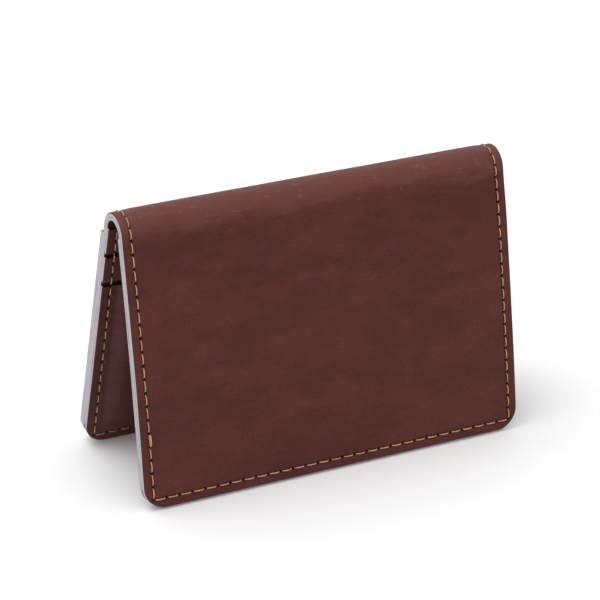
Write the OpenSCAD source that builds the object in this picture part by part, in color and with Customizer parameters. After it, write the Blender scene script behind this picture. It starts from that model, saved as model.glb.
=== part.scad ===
// Bifold leather card holder, standing as a tent on the free edges of its two leaves.
// X runs along the fold, the front leaf faces -Y, and the lowest edges stand on z = 0.

/* [Overall] */
// Width along the fold
width = 102; // [95:0.5:110]
// Straight length of each leaf, from the fold to its free edge
leaf_length = 66.5; // [64:0.5:75]
// Lean of each leaf from the vertical, in degrees
lean = 12.5; // [8:0.5:18]
// Radius of the rounded corners at the free edges
corner_radius = 5.5; // [4:0.5:6]

/* [Leather] */
// Outer shell leather thickness
shell_t = 1.2; // [1:0.1:1.4]
// Lining leather thickness
lining_t = 0.9; // [0.7:0.1:1]
// Thickness of each inner pocket panel
pocket_t = 0.85; // [0.7:0.05:0.9]
// Thickness of the pocket panel on the outside of the rear leaf
outside_pocket_t = 1.2; // [1:0.1:1.3]

/* [Fold] */
// Outer radius of the fold
fold_radius = 5.5; // [5:0.1:6.5]
// Number of strips that stand for the bending leather
fold_strips = 5; // [5:1:5]
// Half gap between two strips at their hinge line
hinge_gap = 0.03; // [0.02:0.01:0.05]
// Extra angle that the strips leave free beyond their travel
gap_margin = 1; // [0.5:0.5:2]

/* [Pockets] */
// Mouth of the upper inner pocket, measured down the leaf
mouth_top = 0.5; // [0.5:0.5:2]
// Distance from one stepped mouth to the next
mouth_step = 8.5; // [8:0.5:9]
// Mouth of the pocket on the outside of the rear leaf
mouth_outside = 2.8; // [2:0.1:4]
// Half width of the hidden pocket tongues
tongue_half_w = 44.5; // [43.5:0.5:45]
// Free edge of the upper pocket's tongue
tongue_top_end = 58; // [56:0.5:59]
// Free edge of the middle pocket's tongue
tongue_middle_end = 61.7; // [60:0.1:62]

/* [Seam] */
// Distance from the leather edge to the seam
seam_inset = 2.25; // [2:0.05:2.8]
// Stitches along the free edge of each leaf
stitches_across = 29; // [28:1:31]
// Stitches along each side of each leaf
stitches_down = 19; // [17:1:19]
// Distance between neighbouring holes on the sides
stitch_pitch = 3.25; // [3:0.05:3.3]
// Visible length of one stitch
stitch_l = 2.3; // [2:0.1:2.5]
// Width of the thread
thread_w = 0.55; // [0.4:0.05:0.6]
// Height of the thread over the leather it lies on
thread_t = 0.3; // [0.2:0.05:0.3]
// Width of the groove that takes the outer threads
groove_w = 0.9; // [0.8:0.05:1]
// Depth of the groove
groove_d = 0.35; // [0.3:0.05:0.4]

/* [Hidden] */
$fn = 96;

leather_colour = [0.34, 0.19, 0.18];
lining_colour = [0.26, 0.13, 0.13];
pocket_colour = [0.36, 0.24, 0.22];
thread_colour = [0.78, 0.63, 0.49];

half_w = width / 2;
seam_x = half_w - seam_inset;
seam_u = leaf_length - seam_inset;
stack_t = shell_t + lining_t + pocket_t;
lining_r = fold_radius - shell_t;
inner_r = lining_r - lining_t;
neutral_r = fold_radius - (shell_t + lining_t) / 2;
fold_centre_z = leaf_length * cos(lean) - (fold_radius - stack_t) * sin(lean);
fold_centre_y = -outside_pocket_t * cos(lean) / 2;

// Each strip spans the same angle. A hinge between two strips opens by that angle when the
// holder lies flat, and closes by the leaves' own lean when it is shut.
fold_angle = 180 - 2 * lean;
strip_angle = fold_angle / fold_strips;
outer_cut = strip_angle / 2 + gap_margin;
inner_cut = lean / fold_strips + gap_margin / 2;

// The tongues lie between the side joggles, where the lower pockets step over them.
joggle_in = tongue_half_w + 0.5;
joggle_out = joggle_in + 1;
bottom_joggle_in = tongue_middle_end + 0.5;
bottom_joggle_out = bottom_joggle_in + 0.8;
mouth_middle = mouth_top + mouth_step;
mouth_front = mouth_middle + mouth_step;
panel_gap = 0.1;
tongue_seam_inset = 1.2;
tongue_seam_half_w = tongue_half_w - 3;
tongue_stitches = 26;
past = 1;

fold_stitch_half_angle = 9.5;

// Local frames of the leaves: x along the fold, y down the leaf, z out from the fold's centre.
module on_front_leaf() {
  translate([0, fold_centre_y, fold_centre_z])
    rotate([90 - lean, 0, 0])
      mirror([0, 1, 0])
        children();
}

module on_rear_leaf() {
  translate([0, fold_centre_y, fold_centre_z])
    rotate([lean - 90, 0, 0])
      children();
}

// Frame of the fold's cross-section: its profile is drawn in y and z, and runs along x.
module on_fold(from_x, length) {
  translate([from_x, fold_centre_y, fold_centre_z])
    rotate([90, 0, 90])
      linear_extrude(length)
        children();
}

// A leaf's outline from a straight top edge to the free edge with its two round corners.
module leaf_outline(top) {
  translate([-half_w, top])
    square([width, leaf_length - corner_radius - top]);
  translate([corner_radius - half_w, top])
    square([width - 2 * corner_radius, leaf_length - top]);
  for (side = [-1, 1])
    translate([side * (half_w - corner_radius), leaf_length - corner_radius])
      circle(corner_radius);
}

// A centred strip between two heights on the leaf.
module band(half, top, bottom) {
  translate([-half, top])
    square([2 * half, bottom - top]);
}

module layer(outer, thickness) {
  translate([0, 0, outer - thickness])
    linear_extrude(thickness)
      children();
}

// The groove runs down both sides and along the free edge.
module seam_groove(surface) {
  translate([0, 0, surface - groove_d])
    linear_extrude(groove_d + past) {
      for (side = [-1, 1])
        translate([side * seam_x - groove_w / 2, -past])
          square([groove_w, seam_u + groove_w / 2 + past]);
      translate([-seam_x, seam_u - groove_w / 2])
        square([2 * seam_x, groove_w]);
    }
}

// One flat stitch with round ends, lying along y, with its back on the leather.
module stitch(length = stitch_l) {
  straight = length - thread_w;
  linear_extrude(thread_t) {
    translate([-thread_w / 2, -straight / 2])
      square([thread_w, straight]);
    for (end = [-1, 1])
      translate([0, end * straight / 2])
        circle(d = thread_w, $fn = 24);
  }
}

module side_stitches(floor_z) {
  for (side = [-1, 1], i = [0:stitches_down - 1])
    translate([side * seam_x, seam_u - (i + 0.5) * stitch_pitch, floor_z])
      stitch();
}

module row_of_stitches(half, at, floor_z, count) {
  pitch = 2 * half / count;
  for (i = [0:count - 1])
    translate([-half + (i + 0.5) * pitch, at, floor_z])
      rotate([0, 0, 90])
        stitch();
}

module leaf_stitches(floor_z) {
  side_stitches(floor_z);
  row_of_stitches(seam_x, seam_u, floor_z, stitches_across);
}

// Shell panels: the outer leather of each leaf.
module shell_front() {
  color(leather_colour)
    on_front_leaf()
      difference() {
        layer(fold_radius, shell_t) leaf_outline(0);
        seam_groove(fold_radius);
      }
}

module shell_rear() {
  color(leather_colour)
    on_rear_leaf()
      layer(fold_radius, shell_t) leaf_outline(0);
}

module lining_front() {
  color(lining_colour)
    on_front_leaf()
      layer(lining_r, lining_t) leaf_outline(0);
}

module lining_rear() {
  color(lining_colour)
    on_rear_leaf()
      layer(lining_r, lining_t) leaf_outline(0);
}

module front_leaf_pocket() {
  color(pocket_colour)
    on_front_leaf()
      layer(inner_r, pocket_t) leaf_outline(mouth_top);
}

module outside_pocket() {
  color(leather_colour)
    on_rear_leaf()
      difference() {
        layer(fold_radius + outside_pocket_t, outside_pocket_t) leaf_outline(mouth_outside);
        seam_groove(fold_radius + outside_pocket_t);
      }
}

// A tongue's bottom seam lies in a groove, so that the next panel lies flat over it.
module tongue_seam_groove(at, surface) {
  translate([-tongue_seam_half_w, at - groove_w / 2, surface - past])
    cube([2 * tongue_seam_half_w, groove_w, groove_d + past]);
}

// The upper pocket is a T: its ears reach the side seams and its tongue is sewn to the lining.
module pocket_top() {
  color(pocket_colour)
    on_rear_leaf()
      difference() {
        layer(inner_r, pocket_t) {
          band(half_w, mouth_top, mouth_middle - panel_gap);
          band(tongue_half_w, mouth_top, tongue_top_end);
        }
        tongue_seam_groove(tongue_top_end - tongue_seam_inset, inner_r - pocket_t);
      }
}

// The middle pocket is a second T, which steps over the first one's tongue.
module pocket_middle() {
  ear_end = mouth_front - panel_gap;
  color(pocket_colour)
    on_rear_leaf()
      difference() {
        union() {
          layer(inner_r, pocket_t)
            difference() {
              band(half_w, mouth_middle, ear_end);
              band(joggle_in, mouth_middle - past, ear_end + past);
            }
          layer(inner_r, 2 * pocket_t)
            difference() {
              band(joggle_out, mouth_middle, ear_end);
              band(joggle_in, mouth_middle - past, ear_end + past);
            }
          layer(inner_r - pocket_t, pocket_t) {
            band(joggle_out, mouth_middle, ear_end);
            band(tongue_half_w, mouth_middle, tongue_middle_end);
          }
        }
        tongue_seam_groove(tongue_middle_end - tongue_seam_inset, inner_r - 2 * pocket_t);
      }
}

// The front pocket is a full panel, which steps over both tongues and is sewn in all round.
module pocket_front() {
  color(pocket_colour)
    on_rear_leaf() {
      layer(inner_r, pocket_t)
        difference() {
          leaf_outline(mouth_front);
          band(joggle_in, mouth_front - past, bottom_joggle_in);
        }
      layer(inner_r, 3 * pocket_t)
        difference() {
          band(joggle_out, mouth_front, bottom_joggle_out);
          band(joggle_in, mouth_front - past, bottom_joggle_in);
        }
      layer(inner_r - 2 * pocket_t, pocket_t)
        band(joggle_out, mouth_front, bottom_joggle_out);
    }
}

module tongue_seam(end, surface) {
  color(thread_colour)
    on_rear_leaf()
      row_of_stitches(
        tongue_seam_half_w - stitch_l / 2, end - tongue_seam_inset,
        surface + groove_d - thread_t, tongue_stitches
      );
}

module seam_pocket_top() {
  tongue_seam(tongue_top_end, inner_r - pocket_t);
}

module seam_pocket_middle() {
  tongue_seam(tongue_middle_end, inner_r - 2 * pocket_t);
}

// Perimeter seam: the threads of both faces of both leaves.
module stitches_front_outside() {
  color(thread_colour)
    on_front_leaf()
      leaf_stitches(fold_radius - groove_d);
}

module stitches_rear_outside() {
  color(thread_colour)
    on_rear_leaf()
      leaf_stitches(fold_radius + outside_pocket_t - groove_d);
}

module stitches_front_inside() {
  color(thread_colour)
    on_front_leaf()
      leaf_stitches(inner_r - pocket_t - thread_t);
}

module stitches_rear_inside() {
  color(thread_colour)
    on_rear_leaf()
      leaf_stitches(inner_r - pocket_t - thread_t);
}

// The seam's ends are locked by two stitches sewn twice, on the left side of the front leaf.
module back_tack() {
  color(thread_colour)
    on_front_leaf()
      for (i = [3:4])
        translate([-seam_x, seam_u - (i + 0.5) * stitch_pitch, fold_radius - groove_d + thread_t])
          stitch();
}

// Half plane sides of a strip at a hinge line. turn is +1 at the strip's start and -1 at its end.
function radial(a) = [cos(a), sin(a)];
function tangent(a) = [-sin(a), cos(a)];
function hinge_point(a, turn) = neutral_r * radial(a) + turn * hinge_gap * tangent(a);
function outer_point(a, turn) =
  hinge_point(a, turn) + fold_radius * (cos(outer_cut) * radial(a) + turn * sin(outer_cut) * tangent(a));
function inner_point(a, turn) =
  hinge_point(a, turn) - neutral_r * (cos(inner_cut) * radial(a) - turn * sin(inner_cut) * tangent(a));

module strip_wedge(index) {
  start = lean + (index - 1) * strip_angle;
  end = start + strip_angle;
  far = 3 * fold_radius;
  middle = (start + end) / 2;
  polygon([
    inner_point(start, 1), hinge_point(start, 1), outer_point(start, 1), far * radial(middle),
    outer_point(end, -1), hinge_point(end, -1), inner_point(end, -1)
  ]);
}

module ring(outer, inner) {
  difference() {
    circle(outer);
    circle(inner);
  }
}

module shell_strip(index) {
  color(leather_colour)
    difference() {
      on_fold(-half_w, width)
        intersection() {
          ring(fold_radius, lining_r);
          strip_wedge(index);
        }
      for (side = [-1, 1])
        on_fold(side * seam_x - groove_w / 2, groove_w)
          ring(fold_radius + past, fold_radius - groove_d);
    }
}

module lining_strip(index) {
  color(lining_colour)
    on_fold(-half_w, width)
      intersection() {
        ring(lining_r, inner_r);
        strip_wedge(index);
      }
}

// A stitch along the fold is a short piece of ring. The outer ones lie in the groove.
module strip_stitches(index) {
  middle = lean + (index - 0.5) * strip_angle;
  far = 3 * fold_radius;
  wedge = [
    [0, 0],
    far * radial(middle - fold_stitch_half_angle),
    far * radial(middle + fold_stitch_half_angle)
  ];
  color(thread_colour)
    for (side = [-1, 1])
      on_fold(side * seam_x - thread_w / 2, thread_w)
        intersection() {
          union() {
            ring(fold_radius - groove_d + thread_t, fold_radius - groove_d);
            ring(inner_r, inner_r - thread_t);
          }
          polygon(wedge);
        }
}

module shell_fold_1() { shell_strip(1); }
module shell_fold_2() { shell_strip(2); }
module shell_fold_3() { shell_strip(3); }
module shell_fold_4() { shell_strip(4); }
module shell_fold_5() { shell_strip(5); }
module lining_fold_1() { lining_strip(1); }
module lining_fold_2() { lining_strip(2); }
module lining_fold_3() { lining_strip(3); }
module lining_fold_4() { lining_strip(4); }
module lining_fold_5() { lining_strip(5); }
module stitches_fold_1() { strip_stitches(1); }
module stitches_fold_2() { strip_stitches(2); }
module stitches_fold_3() { strip_stitches(3); }
module stitches_fold_4() { strip_stitches(4); }
module stitches_fold_5() { strip_stitches(5); }

shell_rear();
lining_rear();
pocket_top();
pocket_middle();
pocket_front();
outside_pocket();
seam_pocket_top();
seam_pocket_middle();
stitches_rear_outside();
stitches_rear_inside();
shell_fold_1();
shell_fold_2();
shell_fold_3();
shell_fold_4();
shell_fold_5();
lining_fold_1();
lining_fold_2();
lining_fold_3();
lining_fold_4();
lining_fold_5();
stitches_fold_1();
stitches_fold_2();
stitches_fold_3();
stitches_fold_4();
stitches_fold_5();
shell_front();
lining_front();
front_leaf_pocket();
stitches_front_outside();
stitches_front_inside();
back_tack();
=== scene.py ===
import math

import bmesh
import bpy
import numpy as np
from mathutils import Matrix, Vector


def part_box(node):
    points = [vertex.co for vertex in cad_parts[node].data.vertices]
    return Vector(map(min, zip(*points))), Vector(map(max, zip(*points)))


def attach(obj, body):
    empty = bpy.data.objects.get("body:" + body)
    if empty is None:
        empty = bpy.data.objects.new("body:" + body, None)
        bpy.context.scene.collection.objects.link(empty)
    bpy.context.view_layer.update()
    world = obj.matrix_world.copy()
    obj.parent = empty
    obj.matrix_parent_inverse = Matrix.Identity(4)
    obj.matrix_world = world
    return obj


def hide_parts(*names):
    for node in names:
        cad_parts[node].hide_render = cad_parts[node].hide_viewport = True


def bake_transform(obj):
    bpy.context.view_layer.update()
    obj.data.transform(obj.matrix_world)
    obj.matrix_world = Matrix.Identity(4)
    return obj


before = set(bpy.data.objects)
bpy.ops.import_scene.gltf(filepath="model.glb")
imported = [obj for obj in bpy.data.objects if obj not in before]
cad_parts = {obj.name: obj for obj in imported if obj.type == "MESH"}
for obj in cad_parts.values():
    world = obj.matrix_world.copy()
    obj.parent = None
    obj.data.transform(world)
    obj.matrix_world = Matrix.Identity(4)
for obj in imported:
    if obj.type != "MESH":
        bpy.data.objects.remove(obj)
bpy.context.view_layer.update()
mm = 0.001


# ---------------------------------------------------------------------------------------------
# View. A long lens looks at the tent's front and open left end, a little from above.
camera_data = bpy.data.cameras.new("view")
camera_data.sensor_width = 36
camera_data.lens = 170.5
camera = bpy.data.objects.new("view", camera_data)
bpy.context.scene.collection.objects.link(camera)
view_azimuth, view_elevation, view_roll = (math.radians(a) for a in (28.01, 26.69, 2.0))
view_place = Vector((-0.29125, -0.54547, 0.34779))
backward = Vector((
    -math.sin(view_azimuth) * math.cos(view_elevation),
    -math.cos(view_azimuth) * math.cos(view_elevation),
    math.sin(view_elevation),
))
level_right = Vector((math.cos(view_azimuth), -math.sin(view_azimuth), 0))
level_up = backward.cross(level_right)
view_right = level_right * math.cos(view_roll) + level_up * math.sin(view_roll)
view_up = level_up * math.cos(view_roll) - level_right * math.sin(view_roll)
camera.matrix_world = Matrix.Translation(view_place) @ Matrix(
    (view_right, view_up, backward)
).transposed().to_4x4()
bpy.context.scene.camera = camera
bpy.context.scene.view_settings.view_transform = "Standard"


# ---------------------------------------------------------------------------------------------
# Floor and light. A white table that runs out of sight, a bright even surround, and one large
# soft lamp almost overhead, a little behind the left end, for a soft shadow on the right.
floor_mesh = bpy.data.meshes.new("floor")
floor_half = 4
floor_corners = [(-floor_half, -floor_half, 0), (floor_half, -floor_half, 0)]
floor_corners += [(floor_half, floor_half, 0), (-floor_half, floor_half, 0)]
floor_mesh.from_pydata(floor_corners, [], [(0, 1, 2, 3)])
floor = bpy.data.objects.new("floor", floor_mesh)
bpy.context.scene.collection.objects.link(floor)
floor_paint = bpy.data.materials.new("white_table")
floor_paint.use_nodes = True
floor_shader = floor_paint.node_tree.nodes["Principled BSDF"]
floor_shader.inputs["Base Color"].default_value = (0.9, 0.9, 0.9, 1)
floor_shader.inputs["Roughness"].default_value = 0.7
floor_shader.inputs["Specular IOR Level"].default_value = 0.2
floor_mesh.materials.append(floor_paint)

surround = bpy.data.worlds.new("surround")
bpy.context.scene.world = surround
surround.use_nodes = True
surround.node_tree.nodes["Background"].inputs["Color"].default_value = (1, 1, 1, 1)
surround.node_tree.nodes["Background"].inputs["Strength"].default_value = 0.9


def soft_lamp(name, place, aim, size, watts):
    data = bpy.data.lights.new(name, "AREA")
    data.shape = "DISK"
    data.size = size
    data.energy = watts
    lamp = bpy.data.objects.new(name, data)
    bpy.context.scene.collection.objects.link(lamp)
    lamp.location = place
    lamp.rotation_euler = (Vector(aim) - Vector(place)).to_track_quat("-Z", "Y").to_euler()
    return lamp


tent_middle = (0, 0, 0.035)
soft_lamp("key", (-0.26, 0.16, 0.92), tent_middle, 0.72, 4.3)


# ---------------------------------------------------------------------------------------------
# Outer shell. One piece of 1.2 mm full-grain calf runs up the rear leaf, round the fold and down
# the front leaf. Its edges are cut plain and left raw, and a saddle stitch is sewn all round in
# a shallow creased line. It is built whole and then divided into the leaves and the fold's spans.
half_width = 51.0
leaf_length = 66.5
lean = math.radians(12.5)
fold_radius = 5.5
shell_thickness = 1.2
outside_thickness = 1.2
corner_radius = 5.5
front_bow = 0.6
end_dip = 0.1
fold_y = -outside_thickness * math.cos(lean) / 2
fold_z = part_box("shell_fold_3")[1].z / mm - fold_radius
fold_run = fold_radius * (math.pi - 2 * lean)
rear_end, front_end = -leaf_length, fold_run + leaf_length

seam_inset = 2.3
outside_mouth = 2.8
seam_x = half_width - seam_inset
seam_down = leaf_length - seam_inset
side_stitches = {-1: 43, 1: 46}
edge_stitches = 29
side_holes = {
    side: np.linspace(-seam_down, fold_run + seam_down, count + 1)
    for side, count in side_stitches.items()
}
edge_holes = np.linspace(-seam_x, seam_x, edge_stitches + 1)


def smoothstep(low, high, value):
    t = np.clip((value - low) / (high - low), 0, 1)
    return t * t * (3 - 2 * t)


def in_place(x, run, out):
    """The point at x along the fold, run along the leather and out from the fold's middle, in mm.
    run is 0 where the rear leaf meets the fold, less on the rear leaf and more on the front."""
    x, run, out = np.broadcast_arrays(
        np.asarray(x, float), np.asarray(run, float), np.asarray(out, float)
    )
    angle = lean + np.clip(run, 0, fold_run) / fold_radius
    down = np.maximum(-run, run - fold_run).clip(0)
    share = down / leaf_length
    bow = np.where(run > fold_run, 4 * front_bow * share * (1 - share) * smoothstep(0, 9, down), 0)
    near_fold = smoothstep(-7, 1, run) * (1 - smoothstep(fold_run - 1, fold_run + 7, run))
    reach = out + bow - end_dip * near_fold * smoothstep(44, half_width, np.abs(x))
    outward = np.where(run > fold_run / 2, -1, 1)
    y = fold_y + reach * np.cos(angle) + down * outward * np.sin(lean)
    z = fold_z + reach * np.sin(angle) - down * np.cos(lean)
    return np.stack([x, y, z], -1) * mm


def leaf_down(run):
    return np.where(run < fold_run / 2, -run, run - fold_run)


def hole_distance(x, run):
    """How far each point lies from the nearest hole of the seam, up to 9 mm."""
    found = np.full(np.shape(x), 9.0)
    for side, at in side_holes.items():
        hole = at[np.abs(np.asarray(run)[..., None] - at).argmin(-1)]
        found = np.minimum(found, np.hypot(x - side * seam_x, run - hole))
    across = edge_holes[np.abs(np.asarray(x)[..., None] - edge_holes).argmin(-1)]
    return np.minimum(found, np.hypot(x - across, leaf_down(run) - seam_down))


def line_distance(x, run):
    """How far each point lies from the seam line."""
    down = leaf_down(run)
    to_side = np.hypot(np.abs(x) - seam_x, np.maximum(down - seam_down, 0))
    to_edge = np.hypot(down - seam_down, np.maximum(np.abs(x) - seam_x, 0))
    return np.minimum(to_side, to_edge)


def edge_distance(x, run, mouth=None):
    """How far each point lies from the nearest cut edge. The leaves' free corners are round."""
    to_side, to_end = half_width - np.abs(x), leaf_length - leaf_down(run)
    inside = np.minimum(to_side, to_end)
    rounded = corner_radius - np.hypot(corner_radius - to_side, corner_radius - to_end)
    corner = (to_side < corner_radius) & (to_end < corner_radius)
    inside = np.where(corner, rounded, inside)
    return inside if mouth is None else np.minimum(inside, np.abs(run - mouth))


def unevenness(x, run, seed):
    """The slow rise and fall of hand-cut leather, about 1 either way."""
    turn = np.random.default_rng(seed).uniform(0, 2 * np.pi, 4)
    wide = np.sin(x / 9.1 + turn[0]) * np.sin(run / 12.7 + turn[1])
    slanting = np.sin(x / 5.3 + run / 17 + turn[2])
    crossing = np.sin(run / 6.1 - x / 23 + turn[3])
    return 0.5 * wide + 0.3 * slanting + 0.2 * crossing


def rounded_off(inside, radius):
    return np.sqrt(np.maximum(radius**2 - (radius - np.clip(inside, 0, radius)) ** 2, 0)) - radius


crease_depth, crease_spread = 0.16, 0.55
pull_depth, pull_spread = 0.06, 1.6
hole_depth, hole_spread = 0.55, 0.36
pucker_depth, pucker_spread = 0.07, 1.0
pressed_depth, waviness = 0.08, 0.05


def dent(distance, depth, spread):
    return depth * np.exp(-((distance / spread) ** 2))


def sewn_face(x, run, inside, seed):
    """Lift of a face that the seam pulls down: creased line, holes, and edges pressed flat."""
    line, hole = line_distance(x, run), hole_distance(x, run)
    lift = -dent(line, crease_depth, crease_spread) - dent(line, pull_depth, pull_spread)
    lift -= dent(hole, hole_depth, hole_spread) + dent(hole, pucker_depth, pucker_spread)
    lift -= pressed_depth * (1 - smoothstep(0.1, 1.8, inside))
    return lift + waviness * unevenness(x, run, seed) * smoothstep(1.0, 9, inside)


near_edge = [0, 0.03, 0.09, 0.2, 0.35, 0.7, 1.15, 1.55, 1.8, 1.98, 2.14, 2.3, 2.46, 2.62, 2.8, 3.1, 3.7, 4.5]
near_edge += [corner_radius]
near_hole = [-1.05, -0.62, -0.4, -0.2, 0, 0.2, 0.4, 0.62, 1.05]
plain_edge = [0, 0.03, 0.09, 0.2, 0.7, 2.0, corner_radius]
straight_x = half_width - corner_radius


def with_fixed(fixed, wanted, least=0.07):
    """All the fixed lines, and the wanted ones that aren't too close to another."""
    lines = sorted(set(fixed))
    low, high = lines[0], lines[-1]
    for value in sorted(wanted):
        if low < value < high and min(abs(value - v) for v in lines) > least:
            lines.append(value)
    return sorted(lines)


def panel(low, high, rows, mouth_low=False, mouth_high=False, fine=True, tongue=None):
    """A flat pattern in x and run: fine cells along the sewn edges, wide ones in the middle.
    tongue is (half width, end) of a narrower part hanging below the panel's low end."""
    steps = near_edge if fine else plain_edge
    points, index, faces = [], {}, []

    def at(x, run):
        key = round(x, 4), round(run, 4)
        if key not in index:
            index[key] = len(points)
            points.append((x, run))
        return index[key]

    def grid(xs, runs):
        for x0, x1 in zip(xs, xs[1:]):
            for r0, r1 in zip(runs, runs[1:]):
                faces.append([at(x0, r0), at(x1, r0), at(x1, r1), at(x0, r1)])

    start = low if mouth_low else low + corner_radius
    stop = high if mouth_high else high - corner_radius
    columns = list(np.linspace(-straight_x, straight_x, 34))
    if tongue:
        columns = with_fixed([-straight_x, -tongue[0], tongue[0], straight_x], columns, 1.5)
    rows = with_fixed([start, stop] + [v for v in cuts if start < v < stop], rows, 0.1)
    sides = {
        side: with_fixed(rows, [h + s for h in side_holes[side] for s in near_hole] if fine else [])
        for side in (-1, 1)
    }
    across = with_fixed(columns, [h + s for h in edge_holes for s in near_hole] if fine else [])
    low_band = [] if mouth_low else [low + t for t in steps]
    high_band = [] if mouth_high else [high - t for t in steps][::-1]
    for side in (-1, 1):
        xs = sorted(side * (half_width - t) for t in steps)
        grid(xs, sides[side])
        for band in (low_band, high_band):
            if band:
                grid(xs, band)
    for band in (low_band, high_band):
        if band:
            grid(across, band)
    for r0, r1 in zip(rows, rows[1:]):
        for x0, x1 in zip(columns, columns[1:]):
            ring = [(x0, r0)]
            if r0 == start and low_band:
                ring += [(x, r0) for x in across if x0 < x < x1]
            ring += [(x1, r0)]
            if x1 == columns[-1]:
                ring += [(x1, r) for r in sides[1] if r0 < r < r1]
            ring += [(x1, r1)]
            if r1 == stop and high_band:
                ring += [(x, r1) for x in across[::-1] if x0 < x < x1]
            ring += [(x0, r1)]
            if x0 == columns[0]:
                ring += [(x0, r) for r in sides[-1][::-1] if r0 < r < r1]
            faces.append([at(x, r) for x, r in ring])
    if tongue:
        inner = [x for x in columns if abs(x) <= tongue[0]]
        grid(inner, list(np.linspace(tongue[1], low, max(2, int((low - tongue[1]) / 3)))))

    flat = np.array(points)
    x, run = flat[:, 0], flat[:, 1].copy()
    for end, sign, band in ((low, -1, low_band), (high, 1, high_band)):
        a = (np.abs(x) - straight_x) / corner_radius
        b = 1 + sign * (run - end) / corner_radius
        corner = (a > 0) & (b > 0) & bool(band)
        a, b = np.where(corner, a, 0), np.where(corner, b, 0)
        bent_x = np.sign(x) * (straight_x + a * np.sqrt(1 - b * b / 2) * corner_radius)
        bent_run = end + sign * (b * np.sqrt(1 - a * a / 2) - 1) * corner_radius
        x, run = np.where(corner, bent_x, x), np.where(corner, bent_run, run)
    return x, run, faces


def leather(x, run, faces, top, bottom, seed, raw_top=0.35, raw_bottom=1.0):
    """Gives a pattern its thickness. top and bottom are each point's distance out from the fold's
    middle. Returns the points, faces, places on the leather and how raw each point is: 1 on a cut
    edge, less along a rim that has taken dye."""
    used = {}
    for face in faces:
        for a, b in zip(face, face[1:] + face[:1]):
            used[a, b] = used.get((a, b), 0) + 1
    rim = [(a, b) for a, b in used if (b, a) not in used]
    rim_points = sorted({a for a, _ in rim})
    count = len(x)
    walls, raw = 3, [np.zeros(2 * count)]
    at_side = smoothstep(half_width - 1, half_width, np.abs(x))
    x = x + np.sign(x) * (0.05 * unevenness(x * 1.7, run * 2.3, seed + 50) * at_side)
    points = [in_place(x, run, top), in_place(x, run, bottom)]
    places = [np.stack([x, run, level - fold_radius], -1) for level in (top, bottom)]
    raw[0][rim_points] = np.broadcast_to(raw_top, x.shape)[rim_points]
    raw[0][[count + p for p in rim_points]] = np.broadcast_to(raw_bottom, x.shape)[rim_points]
    levels = [dict(zip(rim_points, rim_points))]
    for wall in range(walls):
        share = (wall + 0.5) / walls
        out = top[rim_points] * (1 - share) + bottom[rim_points] * share
        levels.append({p: 2 * count + wall * len(rim_points) + k for k, p in enumerate(rim_points)})
        points.append(in_place(x[rim_points], run[rim_points], out))
        places.append(np.stack([x[rim_points], run[rim_points], out - fold_radius], -1))
        raw.append(np.ones(len(rim_points)))
    levels.append({p: count + p for p in rim_points})
    solid = [list(face) for face in faces] + [[count + p for p in reversed(face)] for face in faces]
    for upper, lower in zip(levels, levels[1:]):
        solid += [[upper[b], upper[a], lower[a], lower[b]] for a, b in rim]
    return np.concatenate(points), solid, np.concatenate(places), np.concatenate(raw)


def dyed_and_shaded_mouth(solid, mouth):
    """Dyes the cut edge of a pocket's mouth near black: its own dark dye, deepened as painted shade for the
    slot. It is marked by a raw value below 0.
    """
    points, faces, places, raw = solid
    at_mouth = (np.abs(places[:, 1] - mouth) < 0.02) & (np.abs(places[:, 0]) < half_width - 0.25)
    return points, faces, places, np.where(at_mouth & (raw > 0), -1.0, raw)


def leather_object(name, points, faces, places, raw, normals, grain_offset, painted_hole_shade):
    mesh = bpy.data.meshes.new(name)
    mesh.from_pydata([tuple(p) for p in points], [], faces)
    mesh.update()
    grain = places * mm + np.array([0, 0, grain_offset])
    mesh.attributes.new("grain_at", "FLOAT_VECTOR", "POINT").data.foreach_set(
        "vector", grain.astype(np.float32).ravel()
    )
    # The 'hole' attribute carries painted shade: the leather darkened in and around each stitch hole.
    for label, values in (("raw", raw), ("hole", painted_hole_shade)):
        mesh.attributes.new(label, "FLOAT", "POINT").data.foreach_set("value", values.astype(np.float32))
    mesh.polygons.foreach_set("use_smooth", np.ones(len(mesh.polygons), bool))
    if normals is not None:
        mesh.normals_split_custom_set_from_vertices([tuple(n) for n in normals])
    obj = bpy.data.objects.new(name, mesh)
    bpy.context.scene.collection.objects.link(obj)
    return obj


def whole_piece(name, solid, grain_offset, sewn=True):
    """Makes one closed object from the points, faces, places and raw marks of leather()."""
    points, faces, places, raw = solid
    # Painted shade, darkest in each stitch hole and fading out within about half a millimetre.
    painted_hole_shade = np.exp(-((hole_distance(places[:, 0], places[:, 1]) / 0.42) ** 2)) * sewn
    obj = leather_object(name, points, faces, places, raw, None, grain_offset, painted_hole_shade)
    work = bmesh.new()
    work.from_mesh(obj.data)
    bmesh.ops.recalc_face_normals(work, faces=work.faces)
    work.to_mesh(obj.data)
    work.free()
    obj.data.update()
    return obj


bodies = ["rear_leaf", "fold_1", "fold_2", "fold_3", "fold_4", "fold_5", "front_leaf"]
strip_run = fold_run / 5
leaf_join = 1.2
cuts = [-leaf_join] + [strip_run * (k + 0.5) for k in range(5)] + [fold_run + leaf_join]
fold_rows = list(np.arange(-3.9, fold_run + 4, 0.35))


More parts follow.
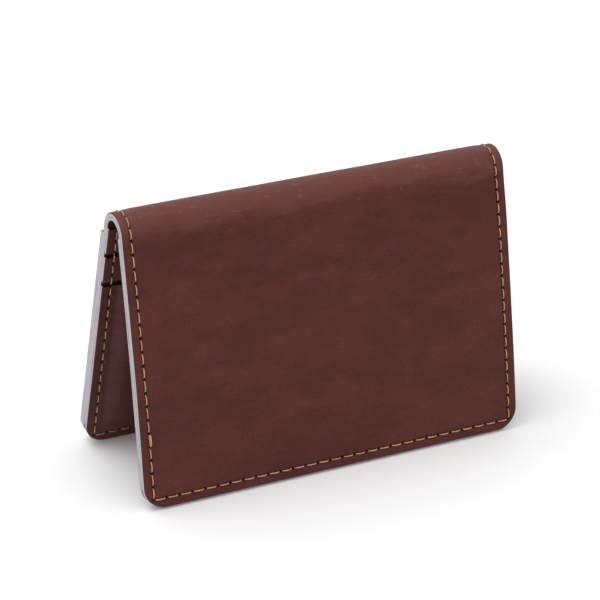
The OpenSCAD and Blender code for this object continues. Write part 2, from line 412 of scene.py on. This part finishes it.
def divided(whole, names):
    """Divides a continuous piece at the cuts. Each part keeps the whole piece's normals."""
    mesh = whole.data
    count = len(mesh.vertices)
    normals = np.empty(count * 3)
    mesh.vertex_normals.foreach_get("vector", normals)
    normals = normals.reshape(-1, 3)
    points = np.array([v.co for v in mesh.vertices])
    grain = np.array([v.vector for v in mesh.attributes["grain_at"].data])
    raw = np.array([v.value for v in mesh.attributes["raw"].data])
    painted_hole_shade = np.array([v.value for v in mesh.attributes["hole"].data])
    run = grain[:, 1] / mm
    owner = {}
    for polygon in mesh.polygons:
        middle = run[list(polygon.vertices)].mean()
        owner.setdefault(int(np.searchsorted(cuts, middle)), []).append(list(polygon.vertices))
    parts = []
    for number, name in enumerate(names):
        faces = owner[number]
        kept = sorted({v for face in faces for v in face})
        new = {v: k for k, v in enumerate(kept)}
        faces = [[new[v] for v in face] for face in faces]
        directed = {(a, b) for face in faces for a, b in zip(face, face[1:] + face[:1])}
        open_edges = {a: b for a, b in directed if (b, a) not in directed}
        while open_edges:
            start, ring = next(iter(open_edges)), []
            here = start
            while here in open_edges:
                ring.append(here)
                here = open_edges.pop(here)
            faces.append(ring[::-1])
        parts.append(leather_object(
            name, points[kept], faces, grain[kept] / mm, raw[kept], normals[kept], 0.0, painted_hole_shade[kept]
        ))
    bpy.data.objects.remove(whole)
    return parts


def neutral_point(run):
    return in_place(0, run, fold_radius - (shell_thickness + 0.9) / 2)


def ride_along(parts):
    """The leaves ride on their bodies, and each span of the fold stays where it was built."""
    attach(parts[0], bodies[0])
    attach(parts[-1], bodies[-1])
    for number in range(6):
        start, end = neutral_point(cuts[number]), neutral_point(cuts[number + 1])
        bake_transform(parts[number + 1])


def finish(obj, material):
    obj.data.materials.clear()
    obj.data.materials.append(material)


# Leather's look: a group for the grain and colour play of the skin, and one for its raw edges.
def node_group(name, inputs, outputs):
    group = bpy.data.node_groups.new(name, "ShaderNodeTree")
    for label, kind, value in inputs:
        socket = group.interface.new_socket(name=label, in_out="INPUT", socket_type="NodeSocket" + kind)
        if value is not None:
            socket.default_value = value
    for label, kind in outputs:
        group.interface.new_socket(name=label, in_out="OUTPUT", socket_type="NodeSocket" + kind)
    return group, group.nodes.new("NodeGroupInput"), group.nodes.new("NodeGroupOutput")


class Wiring:
    """Short ways to add nodes to a tree. An input is a socket to link or a plain value."""

    def __init__(self, tree):
        self.tree = tree

    def node(self, kind, settings=(), **inputs):
        node = self.tree.nodes.new(kind)
        for key, value in dict(settings).items():
            setattr(node, key, value)
        for key, value in inputs.items():
            place = int(key[1:]) if key[0] == "i" and key[1:].isdigit() else key.replace("_", " ")
            if isinstance(value, bpy.types.NodeSocket):
                self.tree.links.new(value, node.inputs[place])
            else:
                node.inputs[place].default_value = value
        return node

    def math(self, operation, a, b=0.0, clamp=False):
        node = self.node("ShaderNodeMath", {"operation": operation, "use_clamp": clamp}, i0=a, i1=b)
        return node.outputs[0]

    def ramp(self, value, low, high, to_low=0.0, to_high=1.0):
        node = self.node(
            "ShaderNodeMapRange", {"interpolation_type": "SMOOTHSTEP"},
            i0=value, i1=low, i2=high, i3=to_low, i4=to_high,
        )
        return node.outputs[0]

    def stretch(self, vector, scale):
        return self.node("ShaderNodeVectorMath", {"operation": "MULTIPLY"}, i0=vector, i1=scale).outputs[0]

    def noise(self, vector, scale, detail=2.0, rough=0.5):
        return self.node(
            "ShaderNodeTexNoise", {"noise_dimensions": "3D"},
            Vector=vector, Scale=scale, Detail=detail, Roughness=rough,
        ).outputs["Fac"]

    def blend(self, factor, a, b, mode="MIX"):
        node = self.node("ShaderNodeMix", {"data_type": "RGBA", "blend_type": mode}, i0=factor, i6=a, i7=b)
        return node.outputs[2]

    def link(self, a, b):
        self.tree.links.new(a, b)


grain_group, grain_in, grain_out = node_group(
    "full_grain",
    [("At", "Vector", None), ("Grain", "Float", 1.0), ("Wrinkles", "Float", 1.0)],
    [("Height", "Float"), ("Mottle", "Float"), ("Pores", "Float"), ("Scuff", "Float")],
)
w = Wiring(grain_group)
at = grain_in.outputs["At"]
warp = w.node("ShaderNodeTexNoise", {}, Vector=at, Scale=900.0, Detail=1.0).outputs["Color"]
shifted = w.node(
    "ShaderNodeVectorMath", {"operation": "MULTIPLY_ADD"}, i0=warp, i1=(0.0005, 0.0005, 0.0005), i2=at
).outputs[0]
cells = w.node(
    "ShaderNodeTexVoronoi", {"feature": "DISTANCE_TO_EDGE"}, Vector=shifted, Scale=1500.0
).outputs[0]
pebble = w.ramp(cells, 0.0, 0.22)
fine = w.noise(at, 4200.0, 2.0)
folds = w.noise(w.stretch(at, (0.22, 1.0, 1.0)), 520.0, 3.0, 0.55)
fold_lines = w.ramp(w.math("ABSOLUTE", w.math("SUBTRACT", folds, 0.5)), 0.0, 0.06)
lengthways = w.stretch(at, (0.38, 1.0, 1.0))
broad = w.noise(lengthways, 75.0, 3.0, 0.6)
patchy = w.ramp(broad, 0.42, 0.66)
creases = w.math("MULTIPLY", w.math("SUBTRACT", 1.0, fold_lines), patchy)
height = w.math("ADD", w.math("MULTIPLY", pebble, 0.55), w.math("MULTIPLY", fine, 0.45))
height = w.math("MULTIPLY", height, grain_in.outputs["Grain"])
height = w.math("SUBTRACT", height, w.math("MULTIPLY", creases, grain_in.outputs["Wrinkles"]))
w.link(height, grain_out.inputs["Height"])
small = w.noise(lengthways, 290.0, 4.0, 0.62)
mottle = w.math("ADD", w.math("MULTIPLY", broad, 0.6), w.math("MULTIPLY", small, 0.4))
w.link(mottle, grain_out.inputs["Mottle"])
w.link(w.math("SUBTRACT", 1.0, pebble), grain_out.inputs["Pores"])
streak = w.noise(w.stretch(at, (0.3, 1.0, 1.0)), 1100.0, 2.0, 0.5)
flecks = w.math("MULTIPLY", w.ramp(streak, 0.56, 0.68), w.ramp(w.noise(at, 300.0, 3.0), 0.46, 0.62))
w.link(flecks, grain_out.inputs["Scuff"])

edge_group, edge_in, edge_out = node_group(
    "cut_edge", [("At", "Vector", None), ("Raw", "Float", 0.0)],
    [("Mask", "Float"), ("Shade", "Float"), ("Height", "Float")],
)
w = Wiring(edge_group)
fibres = w.noise(edge_in.outputs["At"], 5200.0, 3.0, 0.65)
blotch = w.noise(edge_in.outputs["At"], 700.0, 3.0, 0.6)
ragged = w.math("ADD", edge_in.outputs["Raw"], w.math("MULTIPLY", w.math("SUBTRACT", fibres, 0.5), 0.35))
w.link(w.ramp(ragged, 0.45, 0.62), edge_out.inputs["Mask"])
shade = w.math("ADD", w.math("MULTIPLY", fibres, 0.3), w.math("MULTIPLY", blotch, 0.7))
w.link(shade, edge_out.inputs["Shade"])
w.link(fibres, edge_out.inputs["Height"])


# Colours of the worn skin, of the painted sheen across the fold and of the painted shade in the
# stitch holes, and where the painted sheen and the scratch lie, in metres along the leather from the fold's
# start.
painted_sheen_skin = (0.155, 0.052, 0.043, 1)
worn_skin = (0.20, 0.085, 0.068, 1)
painted_hole_shade_colour = (0.012, 0.0022, 0.002, 1)
painted_sheen_fades_in, painted_sheen_fades_out = (0.0, 0.004), (0.0165, 0.0125)
scratch_run, scratch_width = 0.0075, 0.0006
leather_specular = 0.22


def leather_material(name, dark, light, edge_dark, edge_light, rough, grain, wrinkles, sheen_and_scuffs):
    material = bpy.data.materials.new(name)
    material.use_nodes = True
    shader = material.node_tree.nodes["Principled BSDF"]
    w = Wiring(material.node_tree)
    at = w.node("ShaderNodeAttribute", {"attribute_name": "grain_at"}).outputs["Vector"]
    raw = w.node("ShaderNodeAttribute", {"attribute_name": "raw"}).outputs["Fac"]
    hole = w.node("ShaderNodeAttribute", {"attribute_name": "hole"}).outputs["Fac"]
    skin = w.node("ShaderNodeGroup", {"node_tree": grain_group}, At=at, Grain=grain, Wrinkles=wrinkles)
    edge = w.node("ShaderNodeGroup", {"node_tree": edge_group}, At=at, Raw=raw)
    colour = w.blend(w.ramp(skin.outputs["Mottle"], 0.38, 0.62), (*dark, 1), (*light, 1))
    colour = w.blend(w.math("MULTIPLY", skin.outputs["Pores"], 0.3), colour, (*[c * 0.45 for c in dark], 1))
    along_run = w.node("ShaderNodeSeparateXYZ", {}, Vector=at).outputs["Y"]
    near_fold = w.math("MULTIPLY", w.ramp(along_run, -0.001, 0.005), w.ramp(along_run, 0.020, 0.011))
    wander = w.math("MULTIPLY", w.math("SUBTRACT", skin.outputs["Mottle"], 0.5), 0.02)
    border = w.math("ADD", along_run, wander)
    # Painted sheen: the leather across the fold is painted lighter where the lamp's sheen falls.
    painted_sheen = w.math("MULTIPLY", w.ramp(border, *painted_sheen_fades_in), w.ramp(border, *painted_sheen_fades_out))
    colour = w.blend(w.math("MULTIPLY", painted_sheen, sheen_and_scuffs), colour, painted_sheen_skin)
    strayed = w.math("ABSOLUTE", w.math("SUBTRACT", border, scratch_run))
    broken = w.ramp(skin.outputs["Pores"], 0.0, 0.5, 0.3, 0.9)
    scratch = w.math("MULTIPLY", w.ramp(strayed, scratch_width, 0.0), broken)
    # One strength scales both the painted sheen above and the real scuffs and scratch below.
    worn = w.math("MAXIMUM", skin.outputs["Scuff"], w.math("MULTIPLY", scratch, 0.6))
    worn = w.math("MULTIPLY", w.math("MULTIPLY", worn, sheen_and_scuffs), near_fold)
    colour = w.blend(worn, colour, worn_skin)
    cut = w.blend(w.ramp(edge.outputs["Shade"], 0.35, 0.62), (*edge_dark, 1), (*edge_light, 1))
    colour = w.blend(edge.outputs["Mask"], colour, cut)
    # Mouth edges, marked below 0, go near black: their dark dye, deepened as painted shade for the slot.
    colour = w.blend(w.ramp(w.math("SUBTRACT", 0.0, raw), 0.3, 0.9), colour, (*[c * 0.16 for c in dark], 1))
    # Painted shade: the leather darkens to near black in and around the stitch holes.
    colour = w.blend(w.ramp(hole, 0.25, 0.8), colour, painted_hole_shade_colour)
    w.link(colour, shader.inputs["Base Color"])
    gloss = w.math("MULTIPLY_ADD", skin.outputs["Mottle"], 0.22)
    gloss.node.inputs[2].default_value = rough - 0.11
    gloss = w.math("ADD", gloss, w.math("MULTIPLY", skin.outputs["Pores"], 0.12))
    gloss = w.math("MAXIMUM", gloss, w.math("MULTIPLY", edge.outputs["Mask"], 0.92))
    w.link(gloss, shader.inputs["Roughness"])
    smooth = w.math("SUBTRACT", 1.0, edge.outputs["Mask"])
    relief = w.math("MULTIPLY", skin.outputs["Height"], smooth)
    edge_relief = w.math("MULTIPLY", edge.outputs["Height"], edge.outputs["Mask"])
    relief = w.math("ADD", relief, w.math("MULTIPLY", edge_relief, 1.2))
    bump = w.node("ShaderNodeBump", {}, Height=relief, Distance=0.00004, Strength=0.8)
    w.link(bump.outputs[0], shader.inputs["Normal"])
    shader.inputs["Specular IOR Level"].default_value = leather_specular
    return material


shell_leather = leather_material(
    "mahogany_calf", (0.070, 0.0118, 0.0092), (0.102, 0.0205, 0.0155),
    (0.41, 0.386, 0.404), (0.465, 0.44, 0.456), 0.47, 1.0, 0.5, 0.5,
)

x, run, faces = panel(rear_end, front_end, fold_rows + cuts + list(np.arange(rear_end, front_end, 2.5)))
inside = edge_distance(x, run)
covered = 1 - smoothstep(-outside_mouth - 0.3, -outside_mouth, run)
shell_top = fold_radius + rounded_off(inside, 0.2 - 0.15 * covered)
shell_top = shell_top + sewn_face(x, run, inside, 1) * (1 - covered)
shell_bottom = fold_radius - shell_thickness - rounded_off(inside, 0.04)
shell_parts = divided(
    whole_piece("shell", leather(x, run, faces, shell_top, shell_bottom, 1, 0.35 + 0.65 * covered), 0.0),
    ["shell_rear_leather"] + [f"shell_fold_span_{k}" for k in range(6)] + ["shell_front_leather"],
)
for part in shell_parts:
    finish(part, shell_leather)
ride_along(shell_parts)
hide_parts("shell_rear")
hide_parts("shell_front")
for k in range(5):
    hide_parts(f"shell_fold_{k + 1}")


# ---------------------------------------------------------------------------------------------
# Lining. A 0.9 mm skin of thinner, duller calf is glued inside the shell from end to end and is
# caught by the same seam. It shows inside the fold and above the pockets.
lining_thickness = 0.9
lining_top = fold_radius - shell_thickness - 0.01
lining_leather = leather_material(
    "dark_lining_calf", (0.046, 0.0105, 0.0088), (0.066, 0.0160, 0.0130),
    (0.385, 0.362, 0.379), (0.445, 0.42, 0.436), 0.6, 0.7, 0.15, 0.0,
)
rows = fold_rows + list(np.arange(rear_end, front_end, 2.5))
x, run, faces = panel(rear_end, front_end, rows, fine=False)
inside = edge_distance(x, run)
in_fold = smoothstep(-0.5, 0.5, run) * (1 - smoothstep(fold_run - 0.5, fold_run + 0.5, run))
lining_bottom = lining_top - lining_thickness - rounded_off(inside, 0.05 + 0.1 * in_fold)
lining_bottom = lining_bottom - 0.04 * in_fold * unevenness(x, run * 2, 21)
lining_parts = divided(
    whole_piece("lining", leather(
        x, run, faces, lining_top + rounded_off(inside, 0.04), lining_bottom, 2, 1.0, 1 - 0.65 * in_fold
    ), 0.3, False),
    ["lining_rear_leather"] + [f"lining_fold_span_{k}" for k in range(6)] + ["lining_front_leather"],
)
for part in lining_parts:
    finish(part, lining_leather)
ride_along(lining_parts)
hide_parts("lining_rear")
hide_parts("lining_front")
for k in range(5):
    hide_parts(f"lining_fold_{k + 1}")


# ---------------------------------------------------------------------------------------------
# Outside pocket. A full panel of the shell's calf lies on the rear leaf and is sewn in at the
# sides and bottom. Its open mouth stops just short of the fold, with a softened shoulder.
mouth = -outside_mouth
rows = [mouth - t for t in (0.03, 0.1, 0.2, 0.35, 0.6, 1.0, 1.6)] + list(np.arange(rear_end, mouth, 2.5))
x, run, faces = panel(rear_end, mouth, rows, mouth_high=True)
inside = edge_distance(x, run)
top = fold_radius + outside_thickness + rounded_off(inside, 0.2) + sewn_face(x, run, inside, 3)
top = top + rounded_off(mouth - run, 1.0)
bottom = fold_radius + 0.01 - rounded_off(edge_distance(x, run, mouth), 0.04)
outside_pocket = whole_piece(
    "outside_pocket_leather", dyed_and_shaded_mouth(leather(x, run, faces, top, bottom, 3), mouth), 0.6
)
finish(outside_pocket, shell_leather)
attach(outside_pocket, "rear_leaf")
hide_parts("outside_pocket")


# ---------------------------------------------------------------------------------------------
# Inner pockets. 0.85 mm panels make three stepped card slots in the rear leaf: the upper two
# are T-shaped, with a tongue sewn only across its foot, and the front one is full and drapes
# over both tongues. One more full panel lines the front leaf. Mouths are dyed near black, as dye
# and painted shade of the slots together; ends are raw.
pocket_thickness = 0.85
pocket_base = lining_top - lining_thickness - 0.01
mouth_top = 0.5
mouth_step = 8.5
tongue_half = 44.5
tongue_ends = (-58.0, -61.7)
pocket_leather = leather_material(
    "brown_pocket_calf", (0.086, 0.0270, 0.0235), (0.118, 0.040, 0.0345),
    (0.385, 0.362, 0.379), (0.445, 0.42, 0.436), 0.56, 0.8, 0.25, 0.0,
)


def over_tongue(x, run, end):
    """1 where a panel lies over a tongue, and 0 where it reaches down to the lining."""
    return (1 - smoothstep(tongue_half + 0.3, tongue_half + 2.3, np.abs(x))) * smoothstep(
        end - 2.6, end - 0.2, run
    )


def pocket(name, low, high, body, node, seed, tongue=None, over=(), mouth_low=False):
    mouth = low if mouth_low else high
    rows = [mouth + t if mouth_low else mouth - t for t in (0.03, 0.1, 0.2, 0.4, 0.8)]
    rows += list(np.arange(low, high, 2.5)) + [end - t for end in over for t in (0.2, 0.8, 1.4, 2.0, 2.6)]
    x, run, faces = panel(
        low, high, rows, mouth_low=mouth_low or tongue is not None,
        mouth_high=not mouth_low, fine=True, tongue=tongue,
    )
    inside = edge_distance(x, run, mouth)
    level = sum((over_tongue(x, run, end) for end in over), np.zeros(len(x)))
    top = pocket_base - pocket_thickness * level + rounded_off(inside, 0.04)
    line, hole = line_distance(x, run), hole_distance(x, run)
    dimple = 0.05 * np.exp(-((line / 0.55) ** 2)) + 0.35 * np.exp(-((hole / 0.36) ** 2))
    if tongue:
        dimple = dimple * 0.6
    dimple = dimple - 0.03 * unevenness(x, run, seed) * smoothstep(1, 9, inside)
    bottom = pocket_base - pocket_thickness * (level + 1) - rounded_off(inside, 0.14) + dimple
    solid = leather(x, run, faces, top, bottom, seed, 1.0, 0.35)
    piece = whole_piece(name, dyed_and_shaded_mouth(solid, mouth), 0.1 * seed)
    finish(piece, pocket_leather)
    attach(piece, body)
    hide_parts(node)
    return piece


first, second, third = (-(mouth_top + mouth_step * k) for k in range(3))
bar_gap = 1.35
pocket(
    "pocket_top_leather", second + bar_gap, first, "rear_leaf", "pocket_top", 4,
    (tongue_half, tongue_ends[0]),
)
pocket(
    "pocket_middle_leather", third + bar_gap, second, "rear_leaf", "pocket_middle", 5,
    (tongue_half, tongue_ends[1]), over=tongue_ends[:1],
)
pocket("pocket_front_leather", rear_end, third, "rear_leaf", "pocket_front", 6, over=tongue_ends)
pocket(
    "front_leaf_pocket_leather", fold_run + mouth_top, front_end, "front_leaf", "front_leaf_pocket", 7,
    mouth_low=True,
)


# ---------------------------------------------------------------------------------------------
# Perimeter seam. Waxed tan thread of 0.3 mm is saddle-stitched through every layer by hand, so
# each visible stitch dives into its holes, on the outside and the inside alike.
thread_radius = 0.15
stitch_share = 0.76
stitch_tree = bpy.data.node_groups.new("saddle_stitch", "GeometryNodeTree")
for label, kind, value in (
    ("Geometry", "Geometry", None), ("Thread Radius", "Float", 0.00027), ("Dive", "Float", 0.0005),
    ("Rise", "Float", 0.0001), ("Unevenness", "Float", 0.04), ("Seed", "Int", 7),
    ("Thread", "Material", None),
):
    socket = stitch_tree.interface.new_socket(name=label, in_out="INPUT", socket_type="NodeSocket" + kind)
    if value is not None:
        socket.default_value = value
stitch_tree.interface.new_socket(name="Geometry", in_out="OUTPUT", socket_type="NodeSocketGeometry")
g = Wiring(stitch_tree)
given = g.node("NodeGroupInput").outputs
line = g.node("GeometryNodeCurvePrimitiveLine", {}, Start=(-0.5, 0, 0), End=(0.5, 0, 0)).outputs["Curve"]
line = g.node("GeometryNodeResampleCurve", {}, Curve=line, Count=9).outputs["Curve"]
factor = g.node("GeometryNodeSplineParameter").outputs["Factor"]
along = g.math("MULTIPLY_ADD", factor, 2.0)
along.node.inputs[2].default_value = -1.0
dive = g.math("MULTIPLY", g.math("POWER", g.math("ABSOLUTE", along), 4.5), given["Dive"])
lift = g.math("SUBTRACT", given["Rise"], dive)
shift = g.node("ShaderNodeCombineXYZ", {}, Z=lift).outputs[0]
line = g.node("GeometryNodeSetPosition", {}, Geometry=line, Offset=shift).outputs["Geometry"]
slim = g.math("SUBTRACT", 1.0, g.math("MULTIPLY", g.math("POWER", g.math("ABSOLUTE", along), 3.0), 0.3))
store = stitch_tree.nodes.new("GeometryNodeStoreNamedAttribute")
store.data_type, store.domain = "FLOAT", "POINT"
store.inputs["Name"].default_value = "along"
g.link(line, store.inputs["Geometry"])
g.link(along, store.inputs["Value"])
line = g.node(
    "GeometryNodeSetCurveRadius", {}, Curve=store.outputs["Geometry"], Radius=slim
).outputs["Curve"]
ring = g.node("GeometryNodeCurvePrimitiveCircle", {}, Resolution=8, Radius=given["Thread Radius"])
ring = ring.outputs["Curve"]
place = g.node("GeometryNodeInputPosition").outputs["Position"]
direction = g.node("ShaderNodeVectorMath", {"operation": "NORMALIZE"}, i0=place).outputs[0]
store = stitch_tree.nodes.new("GeometryNodeStoreNamedAttribute")
store.data_type, store.domain = "FLOAT_VECTOR", "POINT"
store.inputs["Name"].default_value = "round"
g.link(ring, store.inputs["Geometry"])
g.link(direction, store.inputs["Value"])
tube = g.node(
    "GeometryNodeCurveToMesh", {}, Curve=line, Profile_Curve=store.outputs["Geometry"], Fill_Caps=True
)
points = g.node("GeometryNodeMeshToPoints", {}, Mesh=given["Geometry"]).outputs["Points"]


def named(label, kind):
    node = stitch_tree.nodes.new("GeometryNodeInputNamedAttribute")
    node.data_type = kind
    node.inputs["Name"].default_value = label
    return node.outputs["Attribute"]


turn = g.node("FunctionNodeAlignRotationToVector", {"axis": "X"}, Vector=named("heading", "FLOAT_VECTOR"))
turn = g.node(
    "FunctionNodeAlignRotationToVector", {"axis": "Z", "pivot_axis": "X"},
    Rotation=turn.outputs[0], Vector=named("up", "FLOAT_VECTOR"),
).outputs[0]
jitter = stitch_tree.nodes.new("FunctionNodeRandomValue")
jitter.data_type = "FLOAT"
g.link(g.math("SUBTRACT", 1.0, given["Unevenness"]), jitter.inputs[2])
g.link(g.math("ADD", 1.0, given["Unevenness"]), jitter.inputs[3])
g.link(given["Seed"], jitter.inputs["Seed"])
length = g.math("MULTIPLY", named("gap", "FLOAT"), jitter.outputs[1])
size = g.node("ShaderNodeCombineXYZ", {}, X=length, Y=1.0, Z=1.0).outputs[0]
placed = g.node(
    "GeometryNodeInstanceOnPoints", {}, Points=points, Instance=tube.outputs["Mesh"],
    Rotation=turn, Scale=size,
).outputs["Instances"]
solid_thread = g.node("GeometryNodeRealizeInstances", {}, Geometry=placed).outputs["Geometry"]
along_squared = g.math("MULTIPLY", named("along", "FLOAT"), named("along", "FLOAT"))
follow = g.math("MULTIPLY", along_squared, named("sag", "FLOAT"))
bend = g.node(
    "ShaderNodeVectorMath", {"operation": "SCALE"}, i0=named("up", "FLOAT_VECTOR"), Scale=follow
).outputs[0]
solid_thread = g.node("GeometryNodeSetPosition", {}, Geometry=solid_thread, Offset=bend).outputs["Geometry"]
solid_thread = g.node(
    "GeometryNodeSetMaterial", {}, Geometry=solid_thread, Material=given["Thread"]
).outputs["Geometry"]
g.link(solid_thread, g.node("NodeGroupOutput").inputs["Geometry"])

thread_material = bpy.data.materials.new("waxed_tan_thread")
thread_material.use_nodes = True
thread_shader = thread_material.node_tree.nodes["Principled BSDF"]
w = Wiring(thread_material.node_tree)
lay = w.node("ShaderNodeAttribute", {"attribute_name": "along"}).outputs["Fac"]
around = w.node("ShaderNodeAttribute", {"attribute_name": "round"}).outputs["Vector"]
around = w.node("ShaderNodeSeparateXYZ", {}, Vector=around)
angle = w.math("ARCTAN2", around.outputs["Y"], around.outputs["X"])
ply = w.math("SINE", w.math("ADD", w.math("MULTIPLY", lay, 9.0), w.math("MULTIPLY", angle, 2.0)))
ply_shade = w.ramp(ply, -1.0, 0.4)
wax = w.noise(w.node("ShaderNodeTexCoord").outputs["Object"], 420.0, 3.0)
tan = w.blend(w.ramp(wax, 0.35, 0.65), (0.56, 0.32, 0.16, 1), (0.74, 0.46, 0.255, 1))
# Painted shade: the grooves between the thread's two plies are coloured darker.
ply_groove_shade = w.blend(0.55, tan, (0.22, 0.105, 0.05, 1))
w.link(w.blend(ply_shade, ply_groove_shade, tan), thread_shader.inputs["Base Color"])
w.link(w.ramp(wax, 0.3, 0.7, 0.5, 0.68), thread_shader.inputs["Roughness"])
twist = w.node("ShaderNodeBump", {}, Height=ply, Distance=0.00006, Strength=1.0)
w.link(twist.outputs[0], thread_shader.inputs["Normal"])


def stitched(name, stops, level, inward=False, share=stitch_share, radius=thread_radius, seed=7):
    """Sews between neighbouring holes. stops is a list of rows of (x, run); level gives the
    distance out of the face at a point."""
    sign = -1 if inward else 1
    middles, headings, ups, gaps, sags = [], [], [], [], []
    for row in stops:
        row = np.array(row, float)
        levels = level(row[:, 0], row[:, 1])
        at = in_place(row[:, 0], row[:, 1], levels)
        middle = (row[1:] + row[:-1]) / 2
        middle_level = level(middle[:, 0], middle[:, 1])
        centre = in_place(middle[:, 0], middle[:, 1], middle_level)
        above = in_place(middle[:, 0], middle[:, 1], middle_level + sign)
        heading = at[1:] - at[:-1]
        gap = np.linalg.norm(heading, axis=1)
        up = (above - centre) / np.linalg.norm(above - centre, axis=1)[:, None]
        rise = ((centre - (at[1:] + at[:-1]) / 2) * up).sum(1)
        middles.append(centre)
        headings.append(heading / gap[:, None])
        ups.append(up)
        gaps.append(gap * share)
        sags.append(-rise * share**2)
    middles = np.concatenate(middles)
    mesh = bpy.data.meshes.new(name)
    mesh.from_pydata([tuple(p) for p in middles], [], [])
    for label, values in (("heading", headings), ("up", ups)):
        mesh.attributes.new(label, "FLOAT_VECTOR", "POINT").data.foreach_set(
            "vector", np.concatenate(values).astype(np.float32).ravel()
        )
    for label, values in (("gap", gaps), ("sag", sags)):
        mesh.attributes.new(label, "FLOAT", "POINT").data.foreach_set(
            "value", np.concatenate(values).astype(np.float32)
        )
    dots = bpy.data.objects.new(name + "_dots", mesh)
    bpy.context.scene.collection.objects.link(dots)
    modifier = dots.modifiers.new("sew", "NODES")
    modifier.node_group = stitch_tree
    wanted = {"Thread Radius": radius * mm, "Seed": seed, "Thread": thread_material}
    for item in stitch_tree.interface.items_tree:
        if item.in_out == "INPUT" and item.name in wanted:
            modifier[item.identifier] = wanted[item.name]
    bpy.context.view_layer.update()
    ready = dots.evaluated_get(bpy.context.evaluated_depsgraph_get())
    sewn = bpy.data.objects.new(name, bpy.data.meshes.new_from_object(ready))
    bpy.context.scene.collection.objects.link(sewn)
    bpy.data.objects.remove(dots)
    sewn.data.polygons.foreach_set("use_smooth", np.ones(len(sewn.data.polygons), bool))
    return sewn


def outer_level(x, run):
    """Height of the outer face under the thread: the rear seam crosses onto the outside pocket."""
    return fold_radius - 0.06 + outside_thickness * (1 - smoothstep(mouth - 0.9, mouth + 0.1, run))


def inner_level(x, run):
    """Height of the inner face under the thread: lining in the fold, pocket panels elsewhere."""
    on_pocket = 1 - smoothstep(-0.9, -0.1, run) * (1 - smoothstep(fold_run + 0.1, fold_run + 0.9, run))
    return pocket_base - pocket_thickness * on_pocket


def side_row(side, low, high, shift=0.06):
    return [(side * (seam_x + shift), run) for run in side_holes[side] if low - 1e-6 <= run <= high + 1e-6]


def edge_row(run):
    return [(x, run) for x in edge_holes]


def last_hole(side, limit):
    return side_holes[side][side_holes[side] <= limit].max()


def first_hole(side, limit):
    return side_holes[side][side_holes[side] >= limit].min()


leave_rear = {side: last_hole(side, -leaf_join) for side in (-1, 1)}
reach_front = {side: first_hole(side, fold_run + leaf_join) for side in (-1, 1)}
rear_rows = [side_row(side, rear_end, leave_rear[side]) for side in (-1, 1)] + [edge_row(-seam_down)]
front_rows = [side_row(side, reach_front[side], front_end) for side in (-1, 1)]
front_rows += [edge_row(fold_run + seam_down)]
for name, rows, level, inward, body, node in (
    ("thread_rear_outside", rear_rows, outer_level, False, "rear_leaf", "stitches_rear_outside"),
    ("thread_rear_inside", rear_rows, inner_level, True, "rear_leaf", "stitches_rear_inside"),
    ("thread_front_outside", front_rows, outer_level, False, "front_leaf", "stitches_front_outside"),
    ("thread_front_inside", front_rows, inner_level, True, "front_leaf", "stitches_front_inside"),
):
    thread = stitched(name, rows, level, inward)
    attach(thread, body)
    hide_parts(node)

# Over the fold the thread is divided at the same lines as the leather.
fold_rows_sewn = [side_row(side, leave_rear[side], reach_front[side]) for side in (-1, 1)]
fold_outside = stitched("fold_outside", fold_rows_sewn, outer_level)
fold_inside = stitched("fold_inside", fold_rows_sewn, inner_level, True)


def cut_plane(number):
    """A point on a cut and the direction of the leather there."""
    here = neutral_point(cuts[number])
    ahead = in_place(0, cuts[number] + 0.01, fold_radius) - in_place(0, cuts[number] - 0.01, fold_radius)
    return Vector(here), Vector(ahead).normalized()


for number in range(6):
    pieces = bmesh.new()
    pieces.from_mesh(fold_outside.data)
    pieces.from_mesh(fold_inside.data)
    sides = {(number, True), (number + 1, False), (3, number >= 3)} - {(0, True), (6, False)}
    for which, keep_ahead in sorted(sides):
        point, ahead = cut_plane(which)
        everything = list(pieces.verts) + list(pieces.edges) + list(pieces.faces)
        bmesh.ops.bisect_plane(
            pieces, geom=everything, dist=1e-7, plane_co=point, plane_no=ahead,
            clear_inner=keep_ahead, clear_outer=not keep_ahead,
        )
        bmesh.ops.holes_fill(pieces, edges=[e for e in pieces.edges if e.is_boundary], sides=0)
    mesh = bpy.data.meshes.new(f"thread_fold_span_{number}")
    pieces.to_mesh(mesh)
    pieces.free()
    mesh.polygons.foreach_set("use_smooth", np.ones(len(mesh.polygons), bool))
    mesh.materials.append(thread_material)
    thread = bpy.data.objects.new(mesh.name, mesh)
    bpy.context.scene.collection.objects.link(thread)
    start, end = neutral_point(cuts[number]), neutral_point(cuts[number + 1])
    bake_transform(thread)
    if number < 5:
        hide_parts(f"stitches_fold_{number + 1}")
bpy.data.objects.remove(fold_outside)
bpy.data.objects.remove(fold_inside)


# ---------------------------------------------------------------------------------------------
# Back-tack. Where the sewing ends, on the front leaf's left side, the last two stitches are
# sewn again over the first, so the thread lies double there.
tack_holes = [run for run in side_holes[-1] if fold_run + 46 < run < fold_run + 54]
doubled = stitched(
    "thread_back_tack", [[(-seam_x + 0.16, run + 0.1) for run in tack_holes]],
    lambda x, run: outer_level(x, run) + 0.16, share=0.84, radius=0.22, seed=3,
)
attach(doubled, "front_leaf")
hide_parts("back_tack")


# ---------------------------------------------------------------------------------------------
# Tongue seams. Each T-shaped pocket is sewn to the lining across the foot of its tongue before
# the next panel covers it.
tongue_pitch = 3.3
for number, (end, node) in enumerate(zip(tongue_ends, ("seam_pocket_top", "seam_pocket_middle"))):
    count = int(2 * (tongue_half - 3) / tongue_pitch)
    across = np.linspace(-tongue_half + 3, tongue_half - 3, count + 1)
    face = pocket_base - pocket_thickness + 0.12
    thread = stitched(
        "thread_" + node, [[(x, end + 2.2) for x in across]],
        lambda x, run, face=face: np.full(len(x), face), True, radius=0.2, seed=11 + number,
    )
    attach(thread, "rear_leaf")
    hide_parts(node)
